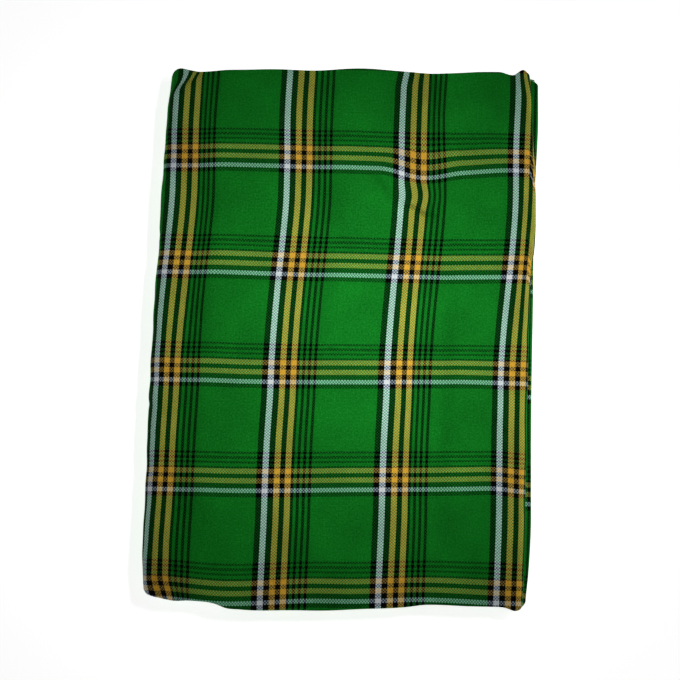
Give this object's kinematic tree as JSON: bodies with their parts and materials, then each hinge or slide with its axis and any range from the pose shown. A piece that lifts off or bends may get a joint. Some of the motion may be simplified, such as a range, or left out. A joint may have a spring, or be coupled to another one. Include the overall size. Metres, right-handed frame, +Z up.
{
  "type": "folded shuka cloth",
  "caption": "Checked shuka wrap cloth folded into a flat rectangular bundle, lying on a surface.",
  "frame": {"origin": "middle of the bundle's bounding box, on the surface that it lies on", "axes": "+X to the right of the bundle, towards the sides with the two right turns; +Y along the bundle's length to its back folds; +Z up, away from the surface"},
  "size_m": [0.2518, 0.3585, 0.024],
  "materials": {
    "check_cloth": "matt woven cloth, green ground with white, orange and black check lines"
  },
  "bodies": {
    "root": {"outer_wrap": "check_cloth", "lower_fold": "check_cloth", "folded_core": "check_cloth"}
  },
  "joints": []
}
